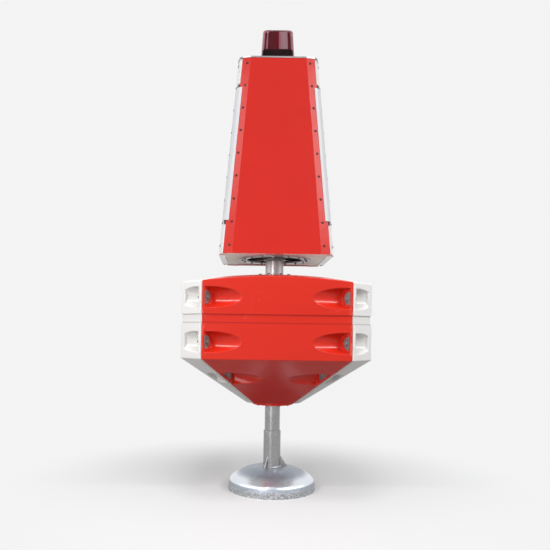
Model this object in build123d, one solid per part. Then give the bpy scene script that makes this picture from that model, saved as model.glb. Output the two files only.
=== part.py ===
"""Navigation buoy: a modular eight-sided float on a steel mast, with a panel tower, a
lantern on top and a dished ballast foot below. Millimetres, +Z up, front towards -Y.
The origin is the middle of the foot's rim, at the level that the buoy stands on."""
import os
from math import atan, cos, pi, radians, sin, sqrt, tan

from build123d import *

os.makedirs("parts", exist_ok=True)

# Fits
SEAT = 0.3              # between a curved piece and what it seats on
SEAM_GAP = 3.0          # open joint between two float modules

# Mast
MAST_OD = 133.0
MAST_WALL = 6.0
MAST_FOOT_Z = 150.0     # the mast ends inside the foot
TAIL_WALL = 8.5         # sleeve over the mast, above the foot
TAIL_TOP_Z = 510.0
NECK_WALL = 12.5        # sleeve over the mast, between deck and tower

# Foot
FOOT_OD = 766.0         # at the level that it stands on
FOOT_TAPER = 7.0        # of its band, inward at the top
FOOT_BAND = 86.0        # height of the band
FOOT_KNUCKLE_R = 60.0   # round bend between the band and the dish
FOOT_TOP_Z = 199.0      # where the dish meets the mast
FOOT_WALL = 10.0
DISH_RISE_SHARE = 0.72  # height of the dish's middle point, as a share of its rise
DISH_SHIFT = 20.0       # of that point, outward from halfway
GUSSET_REACH = 57.0
GUSSET_HEIGHT = 88.0
GUSSET_T = 12.0
GUSSET_AZIMUTHS = (0, 120, 240)

# Ballast and mooring lug under the dish
BALLAST_Z = 105.0
RECESS_R = 150.0
LUG_T = 40.0
LUG_W = 110.0
LUG_HOLE = 52.0
LUG_HOLE_Z = 62.0
LUG_PLATE = 16.0
LUG_PLATE_GAP = 5.0     # round the plate, inside the recess

# Float: a square with cut corners, in plan
FLATS = 1500.0
FACE_W = 1165.0         # front face, between the seams at its two corners
NECK_FLATS = 450.0      # across the flats where the lower cone ends
CONE_Z = (774.0, 1167.0)
WAIST_Z = (1444.0, 1515.0)
WAIST_DEPTH = 10.0
FRONT_EDGE_R = 6.0      # outer edges of the front and back modules
SIDE_EDGE_R = 12.0      # outer edges of the side modules
DECK_Z = 1868.0         # crown of the deck, before its middle is made flat
DECK_R = 4545.0
DECK_FLAT = 6.0
LIP_D = 356.0
LIP_H = 28.0
DECK_FLANGE_D = 340.0
DECK_FLANGE_T = 12.0

# Scoops beside the seams, and the tie bolts through the walls between them
SCOOP_R = 77.0
SCOOP_SINK = 25.0       # of the scoop's axis below the face, at its mouth
RIM_R = 8.0             # of a scoop's rim
FACE_SCOOP_L = 274.0
FACET_SCOOP_L = 206.0
FACET_BAND = 42.0       # left plain at the facet's outer edge
FACE_WALL = 19.0        # from the seam plane to the scoop in the face
FACET_WALL = 30.0       # from the seam plane to the scoop in the facet
BOLT_D = 16.0
BOLT_HOLE = 20.0
BOLT_INSET = 46.0       # from the corner edge, in the seam plane
BOLT_ENDS = (14.0, 34.0)    # rod past its plate, in the face and in the facet
PLATE_R = 50.0
PLATE_INSET = 21.5      # of the plate's straight edge
PLATE_STRAIGHT = 10.0   # straight part before its half disc
PLATE_T = 6.0
ROWS = (                # name of the row, height of its scoops
    ("upper", 1643.0),
    ("lower", 1300.0),
    ("cone", 1003.0),
)

# Tower: four bent panels on four corner posts
TOWER_Z = (2018.0, 3655.0)
TOWER_APOTHEM = (474.0, 336.0)      # bottom, top
PANEL_MAIN = (360.0, 231.0)         # half the flat middle
PANEL_HALF = (436.0, 299.0)         # half the panel, flanges included
FLANGE_BEND = 13.0                  # degrees
PANEL_T = 6.0
PANEL_BEND_R = 9.0                  # inside of the bend
RETURN_W = 48.0                     # lip folded in under the tower's floor
POST_T = 6.0
POST_LAP = 55.0
POST_BEND_R = 6.0
DECK_GAP = 1.0                      # between posts and the tower's level plates
STRIP_Z = (2286.0, 3402.0)
STRIP_LAP = 22.0
STRIP_T = 5.0
FLOOR_T = 6.0
FLOOR_HOLE = 490.0
RING_OD = 630.0
RING_T = 6.0
HUB_OD = 196.0
HUB_H = 60.0
ARM_T = 10.0
ARM_REACH = 330.0
ARM_ROOT = 5.0                      # of an arm inside the hub
ARM_AZIMUTHS = (45, 135, 225, 315)
ROOF_T = 12.0
ROOF_LIP = 3.0                      # past the panels' faces

# Lantern: a square with round corners in plan, leaning in towards its top
STAND_D = 200.0
STAND_H = 78.0
STAND_WALL = 8.0
STAND_FOOT_W = 35.0
STAND_FOOT_T = 10.0
LAMP_BASE_HALF = 137.0
LAMP_BASE_H = 76.0
LAMP_CORNER_R = 59.0
COVER_HALF = 145.0
COVER_DROP = 66.0       # down over the base
COVER_H = 166.0         # above the base
COVER_LEAN = 3.6        # degrees
COVER_WALL = 5.0
COVER_EDGE_R = 7.0
LENS_HALF = 123.0
LENS_CORNER_R = 48.0
CAP_HALF = 96.0
CAP_H = 8.0

# Sizes that follow from the ones above
SEAM_RATIO = FACE_W / FLATS
SEAM_ANGLE = atan(SEAM_RATIO)
FAR = 2 * FLATS
CONE_SLOPE = (FLATS - NECK_FLATS) / 2 / (CONE_Z[1] - CONE_Z[0])
FACET_RATIO = (1 + SEAM_RATIO) / sqrt(2)    # across the facets, to across the flats
FACET_W = (1 - SEAM_RATIO) / sqrt(2)        # the same for a facet's width
BOTTOM = (Align.CENTER, Align.CENTER, Align.MIN)
DECK_FLAT_Z = DECK_Z - DECK_FLAT
MAST_R = MAST_OD / 2
MAST_TOP_Z = TOWER_Z[1]


def save(name, *solids):
    """One node: a single solid, or several that don't touch."""
    piece = solids[0] if len(solids) == 1 else Compound(list(solids))
    export_step(piece, f"parts/{name}.step")


def tube(outer_r, inner_r, z0, z1):
    """Plain ring or tube on the mast's axis."""
    ring = Cylinder(outer_r, z1 - z0, align=BOTTOM) - Cylinder(inner_r, z1 - z0, align=BOTTOM)
    return Pos(0, 0, z0) * ring


def revolved(*points):
    """Solid of revolution from a closed outline of (radius, height) points."""
    return revolve(make_face(Plane.XZ * Polyline(*points, close=True)), Axis.Z)


# Mast and its sleeves
save("mast_tube", tube(MAST_R, MAST_R - MAST_WALL, MAST_FOOT_Z, MAST_TOP_Z))
tail_r = MAST_R + SEAT + TAIL_WALL
neck_r = MAST_R + SEAT + NECK_WALL
save("tail_sleeve", tube(tail_r, MAST_R + SEAT, FOOT_TOP_Z + SEAT, TAIL_TOP_Z))
neck_z0 = DECK_FLAT_Z + DECK_FLANGE_T
save("neck_sleeve", tube(neck_r, MAST_R + SEAT, neck_z0, TOWER_Z[0] - RING_T))
save("deck_flange", tube(DECK_FLANGE_D / 2, MAST_R + SEAT, DECK_FLAT_Z, neck_z0))
save("hull_lip", tube(LIP_D / 2, MAST_R + SEAT, CONE_Z[0] - LIP_H, CONE_Z[0]))


# Foot: a band that leans in a little, a round bend and a dish that rises to the mast
def dished_body(inset):
    """Solid under the foot's surface, drawn in by a wall."""
    rim = (FOOT_OD / 2 - inset, 0)
    bend = (rim[0] - FOOT_TAPER, FOOT_BAND - inset)
    top = (MAST_R + SEAT, FOOT_TOP_Z - inset)
    middle_z = bend[1] + (FOOT_TOP_Z - FOOT_BAND) * DISH_RISE_SHARE
    dish = ThreePointArc(bend, ((rim[0] + MAST_R) / 2 + DISH_SHIFT, middle_z), top)
    under = Polyline(top, (top[0], 0), rim, bend)
    section = make_face(Curve([dish, under]))
    knuckle = section.vertices().sort_by_distance((*bend, 0))[0]
    return revolve(Plane.XZ * fillet(knuckle, FOOT_KNUCKLE_R - inset), Axis.Z)


# The dish is welded to its skirt at the level of the ballast's underside
foot = dished_body(0) - dished_body(FOOT_WALL)
skirt_room = Cylinder(FOOT_OD, BALLAST_Z, align=BOTTOM)
save("ballast_foot", foot - skirt_room)
save("foot_skirt", foot & skirt_room)

ballast_room = dished_body(FOOT_WALL + SEAT)
block_z = tube(FOOT_OD, RECESS_R, BALLAST_Z, FOOT_TOP_Z)
save("ballast_block", ballast_room & block_z)

gusset_face = Plane.XZ * make_face(Polyline(
    (tail_r, FOOT_BAND), (tail_r + GUSSET_REACH, FOOT_BAND), (tail_r + GUSSET_REACH, FOOT_TOP_Z),
    (tail_r, FOOT_TOP_Z + GUSSET_HEIGHT), close=True))
gusset = extrude(gusset_face, GUSSET_T / 2, both=True) - dished_body(-SEAT)
save("foot_gussets", *[Rot(0, 0, azimuth) * gusset for azimuth in GUSSET_AZIMUTHS])

lug_top = MAST_FOOT_Z - LUG_PLATE
lug = Pos(0, 0, LUG_HOLE_Z) * Rot(0, 90, 0) * Cylinder(LUG_W / 2, LUG_T)
lug += Pos(0, 0, LUG_HOLE_Z) * Box(LUG_T, LUG_W, lug_top - LUG_HOLE_Z, align=BOTTOM)
lug -= Pos(0, 0, LUG_HOLE_Z) * Rot(0, 90, 0) * Cylinder(LUG_HOLE / 2, LUG_T)
lug += Pos(0, 0, lug_top) * Cylinder(RECESS_R - LUG_PLATE_GAP, LUG_PLATE, align=BOTTOM)
save("mooring_lug", lug)


# Float modules
def plan(flats, z):
    """Square with cut corners whose front and back corners stay in the seam planes."""
    a = flats / 2
    w = a * SEAM_RATIO
    quarter = ((w, -a), (a, -w), (a, w), (w, a))
    return Pos(0, 0, z) * make_face(Polyline(*quarter, *[(-x, -y) for x, y in quarter], close=True))


def quarter_room(azimuth, half_angle, wall):
    """Wedge between two seam planes, held back from both by a wall."""
    apex = wall / sin(half_angle)
    reach = (FAR - apex) * tan(half_angle)
    face = make_face(Polyline((apex, 0), (FAR, -reach), (FAR, reach), close=True))
    return Rot(0, 0, azimuth) * extrude(face, 2 * FAR)


def side_prism(profile, azimuth, scale):
    """Body between a side of the float and the axis, endless along that side."""
    outline = [(-FAR, profile[0][1])] + [(d * scale, z) for d, z in profile] + [(-FAR, profile[-1][1])]
    face = make_face(Plane.XZ * Polyline(*outline, close=True))
    return Rot(0, 0, azimuth) * extrude(face, FAR, both=True)


def half_profile(*steps):
    """Half profile of a tier from (across flats, height) steps."""
    return [(flats / 2, z) for flats, z in steps]


def front_module(profile):
    """Front quarter of a tier, between its two seams."""
    return side_prism(profile, -90, 1.0) & quarter_room(-90, SEAM_ANGLE, SEAM_GAP / 2)


def side_module(profile):
    """Right quarter of a tier, with the facets at both its ends."""
    body = side_prism(profile, 0, 1.0) & quarter_room(0, pi / 2 - SEAM_ANGLE, SEAM_GAP / 2)
    return body & side_prism(profile, -45, FACET_RATIO) & side_prism(profile, 45, FACET_RATIO)


def outer_edges(body, level):
    """Edges of a module away from the mast, without those at one level."""
    edges = body.edges().filter_by(lambda e: Vector((e @ 0.5).X, (e @ 0.5).Y).length > NECK_FLATS / 2 + SIDE_EDGE_R)
    return edges.filter_by(lambda e: abs((e @ 0.5).Z - level) > SIDE_EDGE_R)


lower_profile = half_profile((NECK_FLATS, CONE_Z[0]), (FLATS, CONE_Z[1]), (FLATS, WAIST_Z[1]))
upper_profile = half_profile((FLATS, WAIST_Z[1]), (FLATS, DECK_FLAT_Z))
deck_ball = Pos(0, 0, DECK_Z - DECK_R) * Sphere(DECK_R)
waist_h = WAIST_Z[1] - WAIST_Z[0]
waist_core = extrude(plan(FLATS - 2 * WAIST_DEPTH, WAIST_Z[0]), waist_h)
waist_cut = extrude(plan(FLATS + 2 * WAIST_DEPTH, WAIST_Z[0]), waist_h) - waist_core
mast_room = Cylinder(MAST_R + SEAT, FAR, align=BOTTOM)


def seam_corner(z):
    """Point on the front right corner edge at a height, with the edge's outward directions:
    the corner, the edge's direction, the way in, and the front face's and the facet's normals."""
    lean = CONE_SLOPE if z < CONE_Z[1] else 0.0
    half = FLATS / 2 - lean * (CONE_Z[1] - z)
    radial = Vector(sin(SEAM_ANGLE), -cos(SEAM_ANGLE), 0)
    edge = (radial * (lean / cos(SEAM_ANGLE)) + Vector(0, 0, 1)).normalized()
    inward = edge.cross(radial.cross(Vector(0, 0, 1))).normalized()
    facet_lean = lean * (1 + SEAM_RATIO) / sqrt(2)
    face_out = Vector(0, -1, -lean).normalized()
    facet_out = Vector(1 / sqrt(2), -1 / sqrt(2), -facet_lean).normalized()
    corner = Vector(half * SEAM_RATIO, -half, z)
    if inward.dot(radial) > 0:
        inward = inward * -1
    return corner, edge, inward, face_out, facet_out


def scoop(mouth, along, outward, length):
    """Round channel that is deepest at its mouth and runs out to the surface."""
    run = along * length + outward * (SCOOP_R + SCOOP_SINK)
    start = mouth - outward * SCOOP_SINK - run * 0.5
    return extrude(Plane(origin=start, z_dir=run.normalized()) * Circle(SCOOP_R), run.length * 1.5)


front_room = quarter_room(-90, SEAM_ANGLE, FACE_WALL)
side_room = quarter_room(0, pi / 2 - SEAM_ANGLE, FACET_WALL)
seam_normal = Vector(cos(SEAM_ANGLE), sin(SEAM_ANGLE), 0)
face_along = Vector(-1, 0, 0)
facet_along = Vector(1 / sqrt(2), 1 / sqrt(2), 0)
plate_face = Pos(PLATE_STRAIGHT, 0) * Circle(PLATE_R) - Pos(PLATE_STRAIGHT - PLATE_R, 0) * Rectangle(
    2 * PLATE_R, 2 * PLATE_R)
plate_face += Pos(PLATE_STRAIGHT / 2, 0) * Rectangle(PLATE_STRAIGHT, 2 * PLATE_R)
plate = extrude(plate_face, PLATE_T)

scoops = {}
bolt_holes = {}
tie_bolts = {}
for row, z in ROWS:
    corner, edge, inward, face_out, facet_out = seam_corner(z)
    shrink = corner.Y / (-FLATS / 2)
    face_mouth = corner + face_along * (FACE_WALL / cos(SEAM_ANGLE))
    facet_mouth = corner + facet_along * FACET_WALL
    facet_end = corner + facet_along * (shrink * (FLATS / 2 * FACET_W * 2 - FACET_BAND))
    facet_room = extrude(Plane(origin=facet_end, z_dir=-facet_along) * Rectangle(FAR, FAR), FAR)
    scoops["front", row] = scoop(face_mouth, face_along, face_out, FACE_SCOOP_L) & front_room
    facet_scoop = scoop(facet_mouth, facet_along, facet_out, FACET_SCOOP_L * shrink)
    scoops["side", row] = facet_scoop & side_room & facet_room
    bolt_plane = Plane(origin=corner + inward * BOLT_INSET, x_dir=inward, z_dir=seam_normal)
    plate_plane = Plane(origin=corner + inward * PLATE_INSET, x_dir=inward, z_dir=seam_normal)
    bolt_holes[row] = extrude(bolt_plane * Circle(BOLT_HOLE / 2), FACET_WALL + 1, both=True)
    rod_z = -FACE_WALL - PLATE_T - BOLT_ENDS[0]
    rod_h = FACET_WALL + PLATE_T + BOLT_ENDS[1] - rod_z
    rod = bolt_plane * Pos(0, 0, rod_z) * Cylinder(BOLT_D / 2, rod_h, align=BOTTOM)
    plates = plate_plane * (Pos(0, 0, FACET_WALL) * plate + Pos(0, 0, -FACE_WALL - PLATE_T) * plate)
    tie_bolts[row] = rod + plates


def scooped(module, kind, row, about):
    """The module with a scoop and its mirror image, their rims rounded, and their bolt holes."""
    cut = scoops[kind, row]
    hole = bolt_holes[row]
    for tool, drill in ((cut, hole), (mirror(cut, about=about), mirror(hole, about=about))):
        opened = module - tool
        rims = new_edges(module, tool, combined=opened).filter_by(lambda e: e.length > PLATE_R)
        module = fillet(rims, RIM_R) - drill
    return module


TIERS = (               # tier, profile, level kept sharp, its rows
    ("upper", upper_profile, WAIST_Z[1], ("upper",)),
    ("lower", lower_profile, WAIST_Z[1], ("lower", "cone")),
)
KINDS = (               # kind of module, radius of its outer edges, plane between its halves
    ("front", FRONT_EDGE_R, Plane.YZ),
    ("side", SIDE_EDGE_R, Plane.XZ),
)
for tier, profile, sharp_z, rows in TIERS:
    modules = {"front": front_module(profile), "side": side_module(profile)}
    for kind, edge_r, about in KINDS:
        module = modules[kind]
        if tier == "upper":
            module &= deck_ball
        module = fillet(outer_edges(module, sharp_z), edge_r)
        if tier == "lower":
            module -= waist_cut
        for row in rows:
            module = scooped(module, kind, row, about)
        modules[kind] = module - mast_room
    save(f"{tier}_hull_front", modules["front"])
    save(f"{tier}_hull_back", Rot(0, 0, 180) * modules["front"])
    save(f"{tier}_hull_right", modules["side"])
    save(f"{tier}_hull_left", Rot(0, 0, 180) * modules["side"])

for row, bolt in tie_bolts.items():
    pair = (bolt, mirror(bolt, about=Plane.YZ))
    save(f"tie_bolts_{row}", *pair, *[Rot(0, 0, 180) * other for other in pair])


# Tower
def at_level(low_high, z):
    """Value at a height of the tower, between its values at the bottom and the top."""
    share = (z - TOWER_Z[0]) / (TOWER_Z[1] - TOWER_Z[0])
    return low_high[0] + share * (low_high[1] - low_high[0])


def panel_chain(z):
    """Outer face of the front panel in plan, from its left edge to its right edge."""
    apothem, main, half = (at_level(pair, z) for pair in (TOWER_APOTHEM, PANEL_MAIN, PANEL_HALF))
    back = (half - main) * tan(radians(FLANGE_BEND))
    return [(-half, back - apothem), (-main, -apothem), (main, -apothem), (half, back - apothem)]


def corner_chain(z, lap):
    """Outer face of the front right corner in plan: a lap on the front flange, the corner's own
    facet and a lap on the side flange."""
    x, y = panel_chain(z)[-1]
    bend = radians(FLANGE_BEND)
    start = (x - lap * cos(bend), y - lap * sin(bend))
    half = [start, (x, y)]
    return half + [(-y, -x) for x, y in reversed(half)]


def set_in(chain, depth):
    """The same chain moved towards the tower's inside, with mitred corners."""
    points = [Vector(x, y) for x, y in chain]
    runs = [(b - a).normalized() for a, b in zip(points, points[1:])]
    normals = [Vector(-run.Y, run.X) for run in runs]
    normals = [normals[0]] + normals + [normals[-1]]
    moved = []
    for point, before, after in zip(points, normals, normals[1:]):
        mitre = (before + after) * (1 / (1 + before.dot(after)))
        moved.append(point + mitre * depth)
    return [(p.X, p.Y) for p in moved]


def sheet(chain_at, outer, inner, bend_r, z0, z1):
    """Bent sheet between two depths, from one height to another, round at its bends."""
    sections = []
    for z in (z0, z1):
        chain = chain_at(z)
        outline = set_in(chain, outer) + list(reversed(set_in(chain, inner)))
        section = make_face(Polyline(*outline, close=True))
        for depth, radius in ((outer, bend_r + inner - outer), (inner, bend_r)):
            for point in set_in(chain, depth)[1:-1]:
                section = fillet(section.vertices().sort_by_distance((*point, 0))[0], radius)
        sections.append(Pos(0, 0, z) * section)
    return loft(sections, ruled=True)


panel = sheet(panel_chain, 0, PANEL_T, PANEL_BEND_R, TOWER_Z[0] - PANEL_T, TOWER_Z[1])
return_y = -at_level(TOWER_APOTHEM, TOWER_Z[0]) + PANEL_T / 2
panel += Pos(0, return_y, TOWER_Z[0] - PANEL_T) * Box(
    2 * PANEL_MAIN[0] - RETURN_W, RETURN_W, PANEL_T, align=(Align.CENTER, Align.MIN, Align.MIN))
PANELS = (              # name, azimuth from the front
    ("front", 0),
    ("right", 90),
    ("back", 180),
    ("left", 270),
)
for side_name, azimuth in PANELS:
    save(f"tower_panel_{side_name}", Rot(0, 0, azimuth) * panel)

post_in = PANEL_T + SEAT
post = sheet(lambda z: corner_chain(z, POST_LAP), post_in, post_in + POST_T, POST_BEND_R, *TOWER_Z)
strip = sheet(lambda z: corner_chain(z, STRIP_LAP), -SEAT - STRIP_T, -SEAT, POST_BEND_R, *STRIP_Z)
CORNERS = (             # name, azimuth from the front right corner
    ("front_right", 0),
    ("back_right", 90),
    ("back_left", 180),
    ("front_left", 270),
)
for corner_name, azimuth in CORNERS:
    save(f"corner_post_{corner_name}", Rot(0, 0, azimuth) * post)
save("corner_strips", *[Rot(0, 0, azimuth) * strip for _, azimuth in CORNERS])


def tower_deck(outline, z, thickness):
    """Level plate, from the part of its outline that repeats on each side of the tower."""
    points = []
    for azimuth in range(0, 360, 90):
        points += [(Rot(0, 0, azimuth) * Pos(x, y, 0)).position for x, y in outline]
    return extrude(Pos(0, 0, z) * make_face(Polyline(*points, close=True)), thickness)


floor_outline = set_in(corner_chain(TOWER_Z[0], POST_LAP), post_in + POST_T + DECK_GAP)
floor = tower_deck(floor_outline, TOWER_Z[0], FLOOR_T)
floor -= Pos(0, 0, TOWER_Z[0]) * Cylinder(FLOOR_HOLE / 2, FLOOR_T, align=BOTTOM)
save("tower_floor", floor)
save("floor_ring", tube(RING_OD / 2, FLOOR_HOLE / 2, TOWER_Z[0] - RING_T, TOWER_Z[0]))
save("tower_roof", tower_deck(set_in(panel_chain(TOWER_Z[1]), -ROOF_LIP), TOWER_Z[1], ROOF_T))

hub_z = TOWER_Z[0] + FLOOR_T
spider = tube(HUB_OD / 2, MAST_R + SEAT, TOWER_Z[0] - RING_T, hub_z + HUB_H)
arm_start = HUB_OD / 2 - ARM_ROOT
arm = Pos(arm_start, 0, hub_z) * Box(
    ARM_REACH - arm_start, ARM_T, HUB_H, align=(Align.MIN, Align.CENTER, Align.MIN))
for azimuth in ARM_AZIMUTHS:
    spider += Rot(0, 0, azimuth) * arm
save("tower_spider", spider)


# Lantern
def rounded_block(half, corner_r, z, height, lean=0.0):
    """Block that is a square with round corners in plan and leans in by some degrees."""
    return extrude(Pos(0, 0, z) * RectangleRounded(2 * half, 2 * half, corner_r), height, taper=lean)


stand_z = TOWER_Z[1] + ROOF_T
base_z = stand_z + STAND_H
lens_z = base_z + LAMP_BASE_H
stand_r = STAND_D / 2
stand = tube(stand_r, stand_r - STAND_WALL, stand_z, base_z)
stand += tube(stand_r + STAND_FOOT_W, stand_r - STAND_WALL, stand_z, stand_z + STAND_FOOT_T)
save("lantern_stand", stand)
cover_z = lens_z - COVER_DROP
cover_h = COVER_DROP + COVER_H
cover = rounded_block(COVER_HALF, LAMP_CORNER_R, cover_z, cover_h, COVER_LEAN)
cover = fillet(cover.faces().sort_by(Axis.Z)[-1].edges(), COVER_EDGE_R)
cover_room = rounded_block(
    COVER_HALF - COVER_WALL, LAMP_CORNER_R - COVER_WALL, cover_z, cover_h - COVER_WALL, COVER_LEAN)
save("lantern_cover", cover - cover_room)
base_body = rounded_block(LAMP_BASE_HALF, LAMP_CORNER_R, base_z, LAMP_BASE_H)
base_room = rounded_block(
    COVER_HALF - COVER_WALL - SEAT, LAMP_CORNER_R - COVER_WALL, cover_z, cover_h, COVER_LEAN)
base_room += Pos(0, 0, base_z) * Box(4 * LAMP_BASE_HALF, 4 * LAMP_BASE_HALF, cover_z - base_z, align=BOTTOM)
save("lantern_base", base_body & base_room)
lens_h = COVER_H - COVER_WALL - SEAT
save("lantern_lens", rounded_block(LENS_HALF, LENS_CORNER_R, lens_z, lens_h, COVER_LEAN))
save("lantern_cap", rounded_block(CAP_HALF, LENS_CORNER_R, lens_z + COVER_H, CAP_H))
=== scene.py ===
"""Navigation buoy: finishes, fasteners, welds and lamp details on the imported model."""

from math import atan, cos, pi, radians, sin, tan

import bmesh
import bpy
from mathutils import Matrix, Vector


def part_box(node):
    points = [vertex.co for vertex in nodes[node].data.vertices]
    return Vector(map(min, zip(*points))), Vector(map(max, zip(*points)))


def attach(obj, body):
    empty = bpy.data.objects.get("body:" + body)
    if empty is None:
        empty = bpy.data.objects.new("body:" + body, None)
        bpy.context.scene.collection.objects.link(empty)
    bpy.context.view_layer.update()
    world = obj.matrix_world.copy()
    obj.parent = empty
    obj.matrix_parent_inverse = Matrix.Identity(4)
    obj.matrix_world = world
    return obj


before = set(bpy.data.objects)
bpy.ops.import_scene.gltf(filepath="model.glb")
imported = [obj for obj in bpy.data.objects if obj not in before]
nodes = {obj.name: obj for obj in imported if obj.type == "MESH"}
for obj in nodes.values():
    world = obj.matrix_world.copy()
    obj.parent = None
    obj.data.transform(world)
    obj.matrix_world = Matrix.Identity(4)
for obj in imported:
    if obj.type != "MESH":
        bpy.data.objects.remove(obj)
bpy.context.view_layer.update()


# Room and camera
# A pale studio floor under an even pale sky, with large soft lamps in front and two small bright ones high
# at the sides, which draw the streaks in the float's scoops. The viewer stands in front, a little to the
# buoy's left, at eye height, and holds the camera nearly level.
class Value:
    """A shader socket that takes part in sums, adding the Math nodes for them."""

    def __init__(self, socket):
        self.socket = socket

    def math(self, operation, first, second):
        tree = self.socket.id_data
        node = tree.nodes.new("ShaderNodeMath")
        node.operation = operation
        for slot, given in zip(node.inputs, (first, second)):
            if isinstance(given, Value):
                tree.links.new(given.socket, slot)
            elif given is not None:
                slot.default_value = given
        return Value(node.outputs[0])

    def __add__(self, other):
        return self.math("ADD", self, other)

    def __radd__(self, other):
        return self.math("ADD", other, self)

    def __sub__(self, other):
        return self.math("SUBTRACT", self, other)

    def __rsub__(self, other):
        return self.math("SUBTRACT", other, self)

    def __mul__(self, other):
        return self.math("MULTIPLY", self, other)

    def __rmul__(self, other):
        return self.math("MULTIPLY", other, self)

    def __abs__(self):
        return self.math("ABSOLUTE", self, None)

    def most(self, other):
        return self.math("MAXIMUM", self, other)


class Shading:
    """A node tree, and one way to add any node to it."""

    def __init__(self, owner):
        owner.use_nodes = True
        self.tree = owner.node_tree

    def found(self, kind):
        return next(node for node in self.tree.nodes if node.type == kind)

    def add(self, kind, settings=None, take=0, **given):
        """Adds a node: its settings first, then the values or links of its sockets, by name or number."""
        node = self.tree.nodes.new(kind)
        for name, value in (settings or {}).items():
            setattr(node, name, value)
        for name, value in given.items():
            socket = int(name[1:]) if name[1:].isdigit() else name.replace("_", " ")
            self.join(node.inputs[socket], value)
        return Value(node.outputs[take])

    def join(self, slot, value):
        if isinstance(value, Value):
            self.tree.links.new(value.socket, slot)
        elif isinstance(value, tuple) and slot.type == "RGBA":
            slot.default_value = (*value[:3], 1.0)
        else:
            slot.default_value = value

    def seen_directly(self):
        """1 for what the camera sees, directly or by way of metal and glass, 0 for light on the object."""
        rays = ("Is Camera Ray", "Is Glossy Ray", "Is Transmission Ray")
        camera, glossy, through = (self.add("ShaderNodeLightPath", take=ray) for ray in rays)
        return camera.most(glossy).most(through)


class Finish(Shading):
    """A material with one Principled shader."""

    def __init__(self, name, **fixed):
        self.material = bpy.data.materials.new(name)
        super().__init__(self.material)
        self.shader = self.found("BSDF_PRINCIPLED")
        for socket, value in fixed.items():
            self.feed(socket.replace("_", " "), value)
        self.place = self.add("ShaderNodeTexCoord", take="Object")

    def feed(self, socket, value):
        self.join(self.shader.inputs[socket], value)

    def noise(self, scale, detail=3.0, stretch=(1, 1, 1)):
        """Cloudy pattern from 0 to 1, with its size in turns per metre."""
        spread = self.add("ShaderNodeMapping", Vector=self.place, Scale=stretch)
        return self.add("ShaderNodeTexNoise", Vector=spread, Scale=scale, Detail=detail)

    def ease(self, value, low, high):
        """0 below low, 1 above high, smooth between; the other way round if high is less."""
        start, end = sorted((low, high))
        first = 0.0 if low < high else 1.0
        return self.add("ShaderNodeMapRange", {"interpolation_type": "SMOOTHSTEP"}, Value=value,
                        From_Min=start, From_Max=end, To_Min=first, To_Max=1.0 - first)

    def blend(self, share, first, second):
        """Colour between two colours."""
        return self.add("ShaderNodeMix", {"data_type": "RGBA"}, take=2, _0=share, _6=first, _7=second)

    def along(self, axis):
        """Object coordinate on one axis, in metres."""
        return self.add("ShaderNodeSeparateXYZ", take="XYZ".index(axis), Vector=self.place)

    def bumps(self, *layers):
        """Stacks (height, depth in metres) bumps on the normal."""
        more = {}
        for height, depth in layers:
            more["Normal"] = self.add("ShaderNodeBump", Height=height, Distance=depth, **more)
        self.feed("Normal", more["Normal"])


PALE = (0.90, 0.90, 0.90)           # the room as the camera sees it
FLOOR_R = 60.0
FLOOR_FADE = (0.6, 2.6)             # metres from the buoy over which the floor fades into the room
bpy.context.scene.view_settings.view_transform = "Standard"

world = bpy.data.worlds.new("studio")
bpy.context.scene.world = world
sky = Shading(world)
sky_light = sky.add("ShaderNodeBackground", Color=(0.94, 0.96, 1.0), Strength=0.31)
sky_seen = sky.add("ShaderNodeBackground", Color=PALE, Strength=1.0)
sky_mix = sky.add("ShaderNodeMixShader", _0=sky.seen_directly(), _1=sky_light, _2=sky_seen)
sky.join(sky.found("OUTPUT_WORLD").inputs["Surface"], sky_mix)

floor_shape = bmesh.new()
bmesh.ops.create_circle(floor_shape, cap_ends=True, segments=96, radius=FLOOR_R)
floor_mesh = bpy.data.meshes.new("studio_floor")
floor_shape.to_mesh(floor_mesh)
floor_shape.free()
studio_floor = bpy.data.objects.new("studio_floor", floor_mesh)
bpy.context.scene.collection.objects.link(studio_floor)
floor_finish = Finish("studio_floor", Roughness=0.9)
floor_seen = floor_finish.seen_directly()
floor_finish.feed("Base Color", floor_finish.blend(floor_seen, (0.19, 0.18, 0.17), (0.84, 0.84, 0.84)))
across = floor_finish.add("ShaderNodeVectorMath", {"operation": "LENGTH"}, take="Value",
                          Vector=floor_finish.place)
far_off = floor_finish.ease(across, *FLOOR_FADE)
glow = floor_finish.add("ShaderNodeEmission", Color=PALE, Strength=1.0)
top_side = floor_finish.add("ShaderNodeMixShader", _0=far_off * floor_seen,
                            _1=Value(floor_finish.shader.outputs[0]), _2=glow)
under_side = floor_finish.add("ShaderNodeBsdfTransparent")
from_below = floor_finish.add("ShaderNodeNewGeometry", take="Backfacing")
floor_skin = floor_finish.add("ShaderNodeMixShader", _0=from_below, _1=top_side, _2=under_side)
floor_finish.join(floor_finish.found("OUTPUT_MATERIAL").inputs["Surface"], floor_skin)
floor_mesh.materials.append(floor_finish.material)


def softbox(name, place, target, width, height, power):
    """Area lamp at a place, turned to a target, with its size in metres and its power in watts."""
    lamp = bpy.data.lights.new(name, "AREA")
    lamp.shape = "RECTANGLE"
    lamp.size = width
    lamp.size_y = height
    lamp.energy = power
    holder = bpy.data.objects.new(name, lamp)
    holder.location = place
    holder.rotation_euler = (Vector(target) - Vector(place)).to_track_quat("-Z", "Y").to_euler()
    bpy.context.scene.collection.objects.link(holder)


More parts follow.
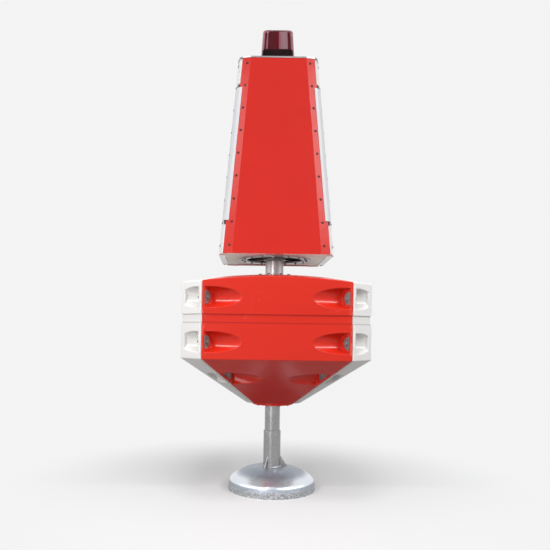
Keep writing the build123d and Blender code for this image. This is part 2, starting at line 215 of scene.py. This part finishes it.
softbox("key_lamp", (-3.7, -6.4, 6.6), (0, 0, 2.4), 2.9, 2.6, 92)
softbox("side_lamp", (4.0, -5.9, 6.2), (0, 0, 2.3), 3.8, 3.2, 215)
softbox("left_glint", (-4.6, -4.1, 5.8), (0, 0, 1.4), 0.5, 0.5, 98)
softbox("right_glint", (5.1, -3.7, 5.6), (0, 0, 1.4), 0.5, 0.5, 98)
softbox("low_lamp", (-2.4, -5.3, 1.75), (0, 0, 1.75), 1.1, 3.4, 92)
softbox("left_wall", (-5.6, -1.6, 3.1), (0, 0, 0.6), 5.0, 3.0, 54)
softbox("right_wall", (5.6, -1.6, 3.1), (0, 0, 0.6), 5.0, 3.0, 45)
softbox("top_lamp", (-0.4, -3.2, 8.8), (0, 0, 1.5), 1.9, 1.9, 122)

CAMERA_ROLL = radians(0.80)
camera = bpy.data.cameras.new("viewer")
camera.lens = 39.27
camera.shift_y = 0.100
camera.shift_x = 0.0427
viewer = bpy.data.objects.new("viewer", camera)
viewer.location = (-0.195, -5.31, 1.394)
heading = Vector((0.0, 1.0, 0.0)).to_track_quat("-Z", "Y")
viewer.rotation_euler = (heading @ Matrix.Rotation(CAMERA_ROLL, 4, "Z").to_quaternion()).to_euler()
bpy.context.scene.collection.objects.link(viewer)
bpy.context.scene.camera = viewer


# Mast
# A steel pipe with a thicker sleeve welded over its lower end and another above the deck. They are hot-dip
# galvanised after welding. The sleeve above the deck has a paler, slightly pink zinc: painted light and a
# painted reflection of the red parts round it.
def paint(finish, *names):
    """Gives CAD nodes their finish."""
    for name in names:
        for slot in nodes[name].material_slots:
            slot.material = finish.material


BLOOM_GAIN = 1.08       # how much paler than the light tone the zinc's dull bloom is
CRYSTALS = 70.0         # of the zinc, per metre


def zinc(name, dark, light, roughness, metallic=0.60):
    """Hot-dip zinc: angular crystals, run marks down the steel and a dull bloom."""
    finish = Finish(name, Metallic=metallic)
    dulled = tuple(part * BLOOM_GAIN for part in light)
    cells = finish.add("ShaderNodeTexVoronoi", take="Color", Vector=finish.place, Scale=CRYSTALS)
    crystal = finish.add("ShaderNodeSeparateColor", take="Red", Color=cells)
    runs = finish.noise(9.0, 3.0, (3.0, 3.0, 0.22))
    bloom = finish.ease(finish.noise(7.0, 5.0), 0.48, 0.72)
    share = crystal * 0.22 + runs * 0.78
    finish.feed("Base Color", finish.blend(bloom * 0.5, finish.blend(share, dark, light), dulled))
    finish.feed("Roughness", roughness + crystal * 0.05 + bloom * 0.08)
    return finish


galvanised = zinc("galvanised", (0.235, 0.23, 0.23), (0.385, 0.38, 0.385), 0.27, 0.88)
galvanised.bumps((galvanised.noise(9.0, 2.0, (1, 1, 0.3)), 0.0012))
paint(galvanised, "mast_tube", "tail_sleeve")
# Painted light: a paler, slightly pink copy of the galvanised zinc, for the sleeve above the deck.
neck_zinc_painted_bright = zinc("neck_zinc_painted_bright", (0.38, 0.35, 0.35), (0.56, 0.52, 0.52), 0.30, 0.80)
paint(neck_zinc_painted_bright, "neck_sleeve")

weld_zinc = zinc("weld_zinc", (0.30, 0.30, 0.32), (0.50, 0.50, 0.52), 0.38)
weld_zinc.bumps((weld_zinc.noise(130.0, 1.0, (1, 1, 0.6)), 0.0014))


SHARP_EDGE = radians(35)


def add_piece(name, shape, finish):
    """Makes a piece of the buoy from a bmesh, with the finish it is given."""
    bmesh.ops.recalc_face_normals(shape, faces=shape.faces)
    mesh = bpy.data.meshes.new(name)
    shape.to_mesh(mesh)
    shape.free()
    mesh.shade_smooth()
    mesh.set_sharp_from_angle(angle=SHARP_EDGE)
    mesh.materials.append(finish.material)
    piece = bpy.data.objects.new(name, mesh)
    bpy.context.scene.collection.objects.link(piece)
    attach(piece, "root")


def turned(profile, steps):
    """Ring or knob turned round Z from (radius, height) points."""
    shape = bmesh.new()
    points = [shape.verts.new((radius, 0, height)) for radius, height in profile]
    runs = [shape.edges.new(pair) for pair in zip(points, points[1:])]
    bmesh.ops.spin(shape, geom=points + runs, cent=(0, 0, 0), axis=(0, 0, 1), angle=2 * pi,
                   steps=steps, use_merge=True)
    bmesh.ops.remove_doubles(shape, verts=shape.verts, dist=0.00001)
    return shape


def repeated(part, places):
    """The part at each of the places, which are matrices."""
    once = bpy.data.meshes.new("once")
    part.to_mesh(once)
    part.free()
    whole = bmesh.new()
    for place in places:
        moved = once.copy()
        moved.transform(place)
        whole.from_mesh(moved)
        bpy.data.meshes.remove(moved)
    bpy.data.meshes.remove(once)
    return whole


WELD_ROOT = 0.001       # of a bead, inside the steel
SLEEVE_LEG, FOOT_LEG, NECK_LEG = 0.007, 0.011, 0.010


def weld_ring(radius, height, leg, up):
    """Convex fillet weld round the mast, on a level surface; up is 1 above that surface and -1 below it."""
    root = (radius - WELD_ROOT, height)
    bead = ((0.0, 1.0), (0.40, 0.82), (0.82, 0.40), (1.0, 0.0))
    points = [(radius + leg * out, height + leg * rise * up) for out, rise in bead]
    return turned([root, *points, root], 72)


mast_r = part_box("mast_tube")[1].x
sleeve_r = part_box("tail_sleeve")[1].x
neck_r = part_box("neck_sleeve")[1].x
foot_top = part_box("ballast_foot")[1].z
sleeve_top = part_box("tail_sleeve")[1].z
neck_low, neck_high = (corner.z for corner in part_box("neck_sleeve"))
add_piece("weld_sleeve_top", weld_ring(mast_r, sleeve_top, SLEEVE_LEG, 1), weld_zinc)
add_piece("weld_foot", weld_ring(sleeve_r, foot_top - WELD_ROOT, FOOT_LEG, 1), weld_zinc)
add_piece("weld_neck_low", weld_ring(neck_r, neck_low, NECK_LEG, 1), weld_zinc)
add_piece("weld_neck_high", weld_ring(neck_r, neck_high, NECK_LEG, -1), weld_zinc)


# Foot
# A pressed steel dish with a round knuckle, welded to its skirt and round the mast, with three gussets.
# Its zinc is dull on the dish and coarse on the lower edge, which drags on the ground when the buoy is
# moved. The knuckle carries a painted highlight: pale patches at both sides, fainter in the middle.
foot_zinc = zinc("foot_zinc", (0.25, 0.285, 0.335), (0.42, 0.465, 0.53), 0.24)
HIGHLIGHT_GAP_X = 0.033    # middle of the gap between the knuckle's painted highlights
foot_height = foot_zinc.along("Z")
grit = foot_zinc.noise(34.0, 6.0)
coarse = foot_zinc.ease(foot_height + grit * 0.05, 0.100, 0.060)
off_middle = abs(foot_zinc.along("X") - HIGHLIGHT_GAP_X)
# Painted highlight: the knuckle turns pale blue-white at both sides and fainter in the middle, front and
# back, with smoother, more metallic zinc there.
painted_knuckle_highlight = foot_zinc.ease(foot_height, 0.074, 0.090) * foot_zinc.ease(foot_height, 0.160, 0.122)
painted_knuckle_highlight = painted_knuckle_highlight * (0.25 + 0.75 * foot_zinc.ease(off_middle, 0.035, 0.105))
speckle = foot_zinc.ease(foot_zinc.noise(75.0, 3.0), 0.36, 0.68)
foot_tone = Value(foot_zinc.shader.inputs["Base Color"].links[0].from_socket)
foot_tone = foot_zinc.blend(painted_knuckle_highlight, foot_tone, (0.82, 0.86, 0.92))
gritty_tone = foot_zinc.blend(speckle, (0.30, 0.31, 0.33), (0.58, 0.59, 0.60))
foot_zinc.feed("Base Color", foot_zinc.blend(coarse, foot_tone, gritty_tone))
foot_zinc.feed("Metallic", 0.60 + painted_knuckle_highlight * 0.20)
foot_zinc.feed("Roughness", 0.37 - painted_knuckle_highlight * 0.13 + coarse * 0.36)
foot_zinc.bumps((foot_zinc.noise(6.0, 2.0), 0.0030), (grit * coarse, 0.0070))
paint(foot_zinc, "ballast_foot", "foot_skirt")
paint(galvanised, "foot_gussets")

GUSSET_T = 0.012
SEAM_END = 0.006        # from the end of a gusset's weld to its corner
GUSSET_AZIMUTHS = (0, 120, 240)
gusset_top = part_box("foot_gussets")[1].z
seam_run = gusset_top - foot_top - SEAM_END
gusset_seam = bmesh.new()
bmesh.ops.create_cone(gusset_seam, cap_ends=True, segments=8, radius1=0.006, radius2=0.005,
                      depth=seam_run)
bmesh.ops.subdivide_edges(gusset_seam, cuts=5, edges=[
    edge for edge in gusset_seam.edges if abs(edge.verts[0].co.z - edge.verts[1].co.z) > seam_run / 2])
bmesh.ops.smooth_vert(gusset_seam, verts=gusset_seam.verts, factor=0.5, use_axis_x=True, use_axis_y=True)
seam_places = [
    Matrix.Rotation(radians(azimuth), 4, "Z") @ Matrix.Translation(
        (sleeve_r + WELD_ROOT, side * GUSSET_T / 2, foot_top + seam_run / 2))
    for azimuth in GUSSET_AZIMUTHS for side in (-1, 1)]
add_piece("weld_gussets", repeated(gusset_seam, seam_places), weld_zinc)


# Ballast and mooring lug
# Concrete cast into the dish, level underneath, with a forged lug and its round plate let into it.
concrete = Finish("concrete")
pores = concrete.ease(concrete.add("ShaderNodeTexVoronoi", Vector=concrete.place, Scale=85.0), 0.16, 0.05)
tone = concrete.noise(11.0, 6.0)
concrete.feed("Base Color", concrete.blend(
    pores * 0.6, concrete.blend(tone, (0.26, 0.25, 0.23), (0.50, 0.49, 0.46)), (0.11, 0.10, 0.09)))
concrete.feed("Roughness", 0.82 + tone * 0.14)
concrete.bumps((tone, 0.0030), (1 - pores, 0.0020))
paint(concrete, "ballast_block")

forged = zinc("forged_zinc", (0.30, 0.30, 0.31), (0.50, 0.50, 0.51), 0.42)
forged.bumps((forged.noise(45.0, 4.0), 0.0012))
paint(forged, "mooring_lug")


# Float modules
# Eight hollow mouldings of coloured polyethylene, filled with foam. The mould leaves a faint orange peel
# and a slow waviness, and the edges at the seams are scuffed where the modules are lifted and bolted.
HALF_FLATS = 0.750
HALF_FACE = 0.5825
SEAM_ANGLE = atan(HALF_FACE / HALF_FLATS)
WAIST_LEDGE = 1.448     # just above the recess's lower corner between the rows of modules, where a shade line is painted
RED_SCUFF = (0.82, 0.20, 0.15)
RED_GROOVE_SHADE = (0.25, 0.012, 0.008)


def moulding(name, body, shade, scuffed, dark_tone, roughness):
    """Rotationally moulded polyethylene."""
    finish = Finish(name, Specular_IOR_Level=0.28)
    cloud = finish.noise(3.1, 4.0)
    swirl = finish.noise(7.0, 3.0, (0.5, 0.5, 2.2))
    across = abs(finish.along("X")) * cos(SEAM_ANGLE) - abs(finish.along("Y")) * sin(SEAM_ANGLE)
    near_seam = finish.ease(abs(across), 0.034, 0.004)
    scrape = finish.ease(finish.noise(58.0, 4.0, (1, 1, 0.35)), 0.50, 0.66)
    scuff = near_seam * scrape
    stray = finish.ease(finish.noise(4.2, 2.0), 0.58, 0.70) * finish.ease(
        finish.noise(90.0, 2.0, (0.35, 0.35, 1)), 0.60, 0.70)
    # Painted shade: a dark line along the waist recess's lower corner, where the recess's shadow falls.
    groove_shade = finish.ease(abs(finish.along("Z") - WAIST_LEDGE), 0.008, 0.003)
    tone = finish.blend(cloud * 0.6 + swirl * 0.4, shade, body)
    tone = finish.blend(groove_shade * 0.55, tone, dark_tone)
    finish.feed("Base Color", finish.blend(scuff * 0.55 + stray * 0.18, tone, scuffed))
    finish.feed("Roughness", roughness + swirl * 0.08 + scuff * 0.16)
    finish.bumps((finish.noise(2.6, 1.0, (0.6, 0.6, 1.6)), 0.0070), (finish.noise(300.0, 1.0), 0.00010),
                 (scuff, 0.0004))
    return finish


hull_red = moulding("hull_red", (0.70, 0.026, 0.011), (0.63, 0.020, 0.009), RED_SCUFF, RED_GROOVE_SHADE, 0.18)
hull_white = moulding("hull_white", (0.86, 0.845, 0.83), (0.79, 0.775, 0.755),
                      (0.60, 0.59, 0.57), (0.34, 0.33, 0.31), 0.20)
paint(hull_red, "upper_hull_front", "upper_hull_back", "lower_hull_front", "lower_hull_back")
paint(hull_white, "upper_hull_right", "upper_hull_left", "lower_hull_right", "lower_hull_left")


# Tie bolts
# Threaded rods through the walls between two scoops, with D-shaped plates, and on each end a washer and
# a nut. All are hot-dip galvanised and stay dull.
bolt_zinc = zinc("bolt_zinc", (0.12, 0.11, 0.11), (0.31, 0.30, 0.30), 0.42, 0.90)
bolt_zinc.bumps((bolt_zinc.noise(160.0, 2.0), 0.0006))
paint(bolt_zinc, "tie_bolts_upper", "tie_bolts_lower", "tie_bolts_cone")

# Nuts and bolt heads: across flats, height, washer's radius and thickness
TIE_NUT = (0.024, 0.012, 0.017, 0.003)
FLANGE_BOLT = (0.024, 0.010, 0.016, 0.003)
LIP_BOLT = (0.019, 0.008, 0.014, 0.0025)
SMALL_BOLT = (0.016, 0.0065, 0.011, 0.002)
BOLT_INSET = 0.046      # of a tie bolt, from the float's corner
FACE_SEAT = 0.025       # from the seam plane to the plate's outside, in the front or back scoop
FACET_SEAT = 0.036      # the same in the side scoop
CONE_LOW = (0.225, 0.774)       # half the flats and the height where the cone ends
CONE_HIGH = (HALF_FLATS, 1.167)
ROW_HEIGHTS = (1.643, 1.300, 1.003)     # of the tie bolts, the last row in the cone


def hexagon(flats, height, washer_r, washer_t):
    """Nut or bolt head on its washer, standing on the level Z = 0."""
    shape = bmesh.new()
    bmesh.ops.create_cone(shape, cap_ends=True, segments=6, radius1=flats / 2 / cos(pi / 6),
                          radius2=flats / 2 / cos(pi / 6), depth=height,
                          matrix=Matrix.Translation((0, 0, washer_t + height / 2)))
    top = max(shape.faces, key=lambda face: face.calc_center_median().z)
    bmesh.ops.inset_region(shape, faces=[top], thickness=flats * 0.07)
    bmesh.ops.translate(shape, verts=top.verts, vec=(0, 0, flats * 0.05))
    rim = bmesh.ops.create_cone(shape, cap_ends=True, segments=24, radius1=washer_r, radius2=washer_r,
                                depth=washer_t, matrix=Matrix.Translation((0, 0, washer_t / 2)))["verts"]
    edges = {edge for vert in rim for edge in vert.link_edges
             if abs(edge.verts[0].co.z - edge.verts[1].co.z) < 0.0001}
    bmesh.ops.bevel(shape, geom=list(edges), offset=washer_t * 0.25, offset_type="OFFSET", segments=1,
                    profile=0.5, affect="EDGES", material=-1)
    return shape


def bolt_places():
    """Where nuts sit: matrices whose Z points out of the plate, on all four corners of the float."""
    slope = (CONE_HIGH[0] - CONE_LOW[0]) / (CONE_HIGH[1] - CONE_LOW[1])
    radial = Vector((sin(SEAM_ANGLE), -cos(SEAM_ANGLE), 0))
    normal = Vector((cos(SEAM_ANGLE), sin(SEAM_ANGLE), 0))
    places = []
    for height in ROW_HEIGHTS:
        drop = max(0.0, CONE_HIGH[1] - height)
        lean = slope / cos(SEAM_ANGLE) if drop else 0.0
        corner = radial * ((HALF_FLATS - slope * drop) / cos(SEAM_ANGLE)) + Vector((0, 0, height))
        inward = (Vector((0, 0, lean)) - radial).normalized()
        for side, seat in ((-1, FACE_SEAT), (1, FACET_SEAT)):
            outward = normal * side
            place = Matrix((inward, outward.cross(inward), outward)).transposed().to_4x4()
            place.translation = corner + inward * BOLT_INSET + outward * seat
            for turn in (Matrix.Identity(4), Matrix.Scale(-1, 4, (1, 0, 0)), Matrix.Scale(-1, 4, (0, 1, 0)),
                         Matrix.Rotation(pi, 4, "Z")):
                places.append(turn @ place)
    return places


add_piece("tie_bolt_nuts", repeated(hexagon(*TIE_NUT), bolt_places()), bolt_zinc)


# Deck flange and lower lip
# A steel flange bolted down on the deck round the mast, and the red ring that closes the cone, which is
# held from below.
paint(galvanised, "deck_flange")
# Painted light: the lip is the hull's red moulding made brighter, for the light it catches from below.
lip_red_painted_bright = moulding("lip_red_painted_bright", (0.92, 0.030, 0.015), (0.86, 0.024, 0.012), RED_SCUFF, RED_GROOVE_SHADE, 0.30)
paint(lip_red_painted_bright, "hull_lip")
FLANGE_BOLTS_R = 0.135
LIP_BOLTS_R = 0.140


def bolt_circle(count, radius, height, up, turn=0.0):
    """Matrices of bolts on a circle round the mast, with heads up or down."""
    tip = Matrix.Identity(4) if up > 0 else Matrix.Rotation(pi, 4, "X")
    out = Matrix.Translation((radius, 0, height))
    return [Matrix.Rotation(2 * pi * (step + turn) / count, 4, "Z") @ out @ tip for step in range(count)]


flange_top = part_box("deck_flange")[1].z
lip_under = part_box("hull_lip")[0].z
add_piece("deck_flange_bolts",
          repeated(hexagon(*FLANGE_BOLT), bolt_circle(8, FLANGE_BOLTS_R, flange_top, 1, 0.5)),
          bolt_zinc)
add_piece("hull_lip_bolts", repeated(hexagon(*LIP_BOLT), bolt_circle(8, LIP_BOLTS_R, lip_under, -1, 0.5)),
          bolt_zinc)


# Tower panels
# Four bent sheets, sprayed in gloss paint, red in front and behind and white on the sides. The flat middle
# is a little wavy, as thin sheet is between its bends, and the paint is a little paler low down.
def gloss_paint(name, body, shade, dark_tone, roughness=0.17):
    """Sprayed paint with slight orange peel, faint rain marks and specks of dirt."""
    finish = Finish(name, Specular_IOR_Level=0.30)
    cloud = finish.noise(2.4, 3.0) * 0.6 + finish.ease(finish.along("Z"), 3.3, 2.1) * 0.4
    rain = finish.ease(finish.noise(22.0, 4.0, (1, 1, 0.05)), 0.52, 0.74)
    speck = finish.ease(finish.noise(190.0, 2.0), 0.70, 0.78)
    finish.feed("Base Color", finish.blend(
        rain * 0.04 + speck * 0.25, finish.blend(cloud, shade, body), dark_tone))
    finish.feed("Roughness", roughness + cloud * 0.07)
    finish.bumps((finish.noise(1.9, 1.0, (1, 1, 0.7)), 0.0070), (finish.noise(420.0, 1.0), 0.00012))
    return finish


panel_red = gloss_paint("panel_red", (0.59, 0.017, 0.008), (0.47, 0.011, 0.006), (0.42, 0.03, 0.02))
panel_white = gloss_paint("panel_white", (0.77, 0.77, 0.76), (0.72, 0.72, 0.71), (0.50, 0.48, 0.45))
strip_white = gloss_paint("strip_white", (0.64, 0.65, 0.66), (0.56, 0.56, 0.58), (0.46, 0.42, 0.42),
                          roughness=0.55)
paint(panel_red, "tower_panel_front", "tower_panel_back")
paint(panel_white, "tower_panel_right", "tower_panel_left", "corner_post_front_right",
      "corner_post_back_right", "corner_post_back_left", "corner_post_front_left")
paint(strip_white, "corner_strips")

# Panel bolts
# A row of small button heads down each flange holds the panels to the corner posts. They are steel under
# a dark red-brown coat, on thin washers.
TOWER_LOW = (2.018, 0.474, 0.360, 0.436)        # height, apothem, half the flat middle, half the panel
TOWER_HIGH = (3.655, 0.336, 0.231, 0.299)
FLANGE_BEND = radians(13)
PANEL_LEAN = atan((TOWER_LOW[1] - TOWER_HIGH[1]) / (TOWER_HIGH[0] - TOWER_LOW[0]))
ROW_START = 2.081
ROW_PITCH = 0.191
ROW_COUNT = 9
ACROSS_FLANGE = 0.38    # where the row runs, as a share of the flange's width
dark_steel = Finish("dark_steel", Metallic=0.15, Specular_IOR_Level=0.30)
dark_steel.feed("Base Color", dark_steel.blend(
    dark_steel.noise(60.0), (0.036, 0.009, 0.008), (0.085, 0.020, 0.017)))
dark_steel.feed("Roughness", 0.36 + dark_steel.noise(120.0) * 0.2)
dark_steel.bumps((dark_steel.noise(500.0, 2.0), 0.0003))


def tower_size(height):
    """Apothem, half the flat middle and half the panel at a height."""
    share = (height - TOWER_LOW[0]) / (TOWER_HIGH[0] - TOWER_LOW[0])
    return [low + share * (high - low) for low, high in zip(TOWER_LOW[1:], TOWER_HIGH[1:])]


def flange_places():
    """Where button heads sit: matrices whose Z points out of the flange, on both flanges of each panel."""
    places = []
    for step in range(ROW_COUNT):
        height = ROW_START + ROW_PITCH * step
        apothem, middle, half = tower_size(height)
        out = (half - middle) * ACROSS_FLANGE
        for side in (-1, 1):
            tip = Matrix.Rotation(pi / 2 - PANEL_LEAN, 4, "X")
            turn = Matrix.Rotation(side * FLANGE_BEND, 4, "Z")
            foot = Matrix.Translation((side * (middle + out), out * tan(FLANGE_BEND) - apothem, height))
            places += [Matrix.Rotation(radians(azimuth), 4, "Z") @ foot @ turn @ tip
                       for azimuth in (0, 90, 180, 270)]
    return places


button = turned([(0.0, 0.0056), (0.0042, 0.0052), (0.0072, 0.0036), (0.0084, 0.0016), (0.0105, 0.0014),
                 (0.0105, -0.0010), (0.0, -0.0010)], 12)
add_piece("panel_bolts", repeated(button, flange_places()), dark_steel)

# Corner strip ends
# Each cover strip ends in a small black rubber wedge that keeps water out of the joint under it.
STRIP_ENDS = ((2.286, -1), (3.402, 1))      # height, and 1 where the wedge points up or -1 down
WEDGE_SIZE = (0.034, 0.012, 0.034)
WEDGE_SINK = 0.003      # of the wedge's middle, inward from the tower's corner
rubber = Finish("rubber")
rubber.feed("Base Color", rubber.blend(rubber.noise(30.0), (0.018, 0.017, 0.017), (0.045, 0.042, 0.040)))
rubber.feed("Roughness", 0.55 + rubber.noise(70.0) * 0.2)
rubber.bumps((rubber.noise(220.0, 2.0), 0.0006))
wedge = bmesh.new()
bmesh.ops.create_cube(wedge, size=1.0, matrix=Matrix.Translation((0, 0, WEDGE_SIZE[2] / 2))
                      @ Matrix.Diagonal((*WEDGE_SIZE, 1)))
bmesh.ops.scale(wedge, vec=(0.45, 0.35, 1), verts=[vert for vert in wedge.verts if vert.co.z > 0.02])
bmesh.ops.bevel(wedge, geom=wedge.edges[:], offset=0.003, offset_type="OFFSET", segments=3, profile=0.5,
                affect="EDGES", material=-1)
wedge_places = []
for height, up in STRIP_ENDS:
    apothem, middle, half = tower_size(height)
    reach = (half + apothem - (half - middle) * tan(FLANGE_BEND)) / 2 ** 0.5
    tip = Matrix.Identity(4) if up > 0 else Matrix.Rotation(pi, 4, "Y")
    for azimuth in (45, 135, 225, 315):
        seat = Matrix.Translation((0, WEDGE_SINK - reach, height))
        wedge_places.append(Matrix.Rotation(radians(azimuth), 4, "Z") @ seat
                            @ Matrix.Rotation(-PANEL_LEAN, 4, "X") @ tip)
add_piece("strip_ends", repeated(wedge, wedge_places), rubber)


# Tower floor, ring and spider
# A painted floor plate with a round hole, stiffened by a steel ring bolted under it. Four arms on a hub
# carry the tower on the mast.
floor_paint = Finish("floor_paint")
stain = floor_paint.ease(floor_paint.noise(6.0, 5.0), 0.45, 0.75)
floor_paint.feed("Base Color", floor_paint.blend(stain * 0.5, (0.76, 0.70, 0.62), (0.50, 0.42, 0.34)))
floor_paint.feed("Roughness", 0.38 + stain * 0.2)
floor_paint.bumps((floor_paint.noise(5.0, 2.0), 0.0030), (floor_paint.noise(300.0, 1.0), 0.0002))
paint(floor_paint, "tower_floor")
paint(galvanised, "floor_ring", "tower_spider")
RING_BOLTS_R = 0.283
ring_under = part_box("floor_ring")[0].z
add_piece("floor_ring_bolts", repeated(hexagon(*SMALL_BOLT), bolt_circle(16, RING_BOLTS_R, ring_under, -1)),
          bolt_zinc)


# Tower roof
# A galvanised plate laid on the panels' upper edges. The lamp stand is bolted to it.
paint(galvanised, "tower_roof")
STAND_BOLTS_R = 0.120
STAND_FOOT_T = 0.010
stand_bolts_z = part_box("tower_roof")[1].z + STAND_FOOT_T
add_piece("stand_bolts", repeated(hexagon(*SMALL_BOLT), bolt_circle(6, STAND_BOLTS_R, stand_bolts_z, 1)),
          bolt_zinc)


# Lantern
# A black moulded stand, base and cap, a dark lens block with a joint down the middle of each side, and over
# it a thin square cover of clear plastic with a red tint. The tint reddens what is seen of the lens. The
# lens carries painted reflections and glints.
black = Finish("lamp_black", Specular_IOR_Level=0.18)
black.feed("Base Color", black.blend(black.noise(12.0), (0.004, 0.004, 0.004), (0.011, 0.010, 0.010)))
black.feed("Roughness", 0.40 + black.noise(40.0) * 0.14)
black.bumps((black.noise(650.0, 1.0), 0.0003))
paint(black, "lantern_stand", "lantern_base", "lantern_cap")

lens_red = Finish("lens_red", Specular_IOR_Level=0.15)
north = lens_red.along("Y")
side = north.math("ARCTAN2", north, lens_red.along("X")) * (2 / pi) + 4.5
side = side.math("FRACT", side, None)      # 0 to 1 from left to right across each side
# Painted reflection: pale grey-green bands on the right of each lens side and a thin one near its left,
# rougher there; the glint noise paints streaky glints.
painted_reflection_bands = lens_red.ease(side, 0.59, 0.61) * lens_red.ease(side, 0.90, 0.88)
painted_reflection_bands = painted_reflection_bands + lens_red.ease(side, 0.035, 0.05) * lens_red.ease(side, 0.09, 0.08)
joint = lens_red.ease(side, 0.535, 0.545) * lens_red.ease(side, 0.585, 0.575)
glint = lens_red.noise(14.0, 3.0, (1, 1, 0.10))
tint = lens_red.blend(glint, (0.060, 0.010, 0.018), (0.17, 0.045, 0.060))
tint = lens_red.blend(painted_reflection_bands, tint, lens_red.blend(glint, (0.27, 0.36, 0.36), (0.44, 0.62, 0.60)))
lens_red.feed("Base Color", lens_red.blend(joint, tint, (0.90, 0.22, 0.32)))
lens_red.feed("Roughness", 0.18 + painted_reflection_bands * 0.22)
lens_red.bumps((lens_red.noise(7.0, 1.0, (1, 1, 0.2)), 0.0020))
paint(lens_red, "lantern_lens")

clear_cover = Finish("clear_cover", Transmission_Weight=1.0, IOR=1.13, Specular_IOR_Level=0.10)
haze = clear_cover.noise(18.0, 4.0)
clear_cover.feed("Base Color", clear_cover.blend(haze, (0.68, 0.42, 0.46), (0.73, 0.48, 0.52)))
clear_cover.feed("Roughness", 0.02 + haze * 0.03)
clear_cover.bumps((clear_cover.noise(9.0, 1.0), 0.0006))
paint(clear_cover, "lantern_cover")
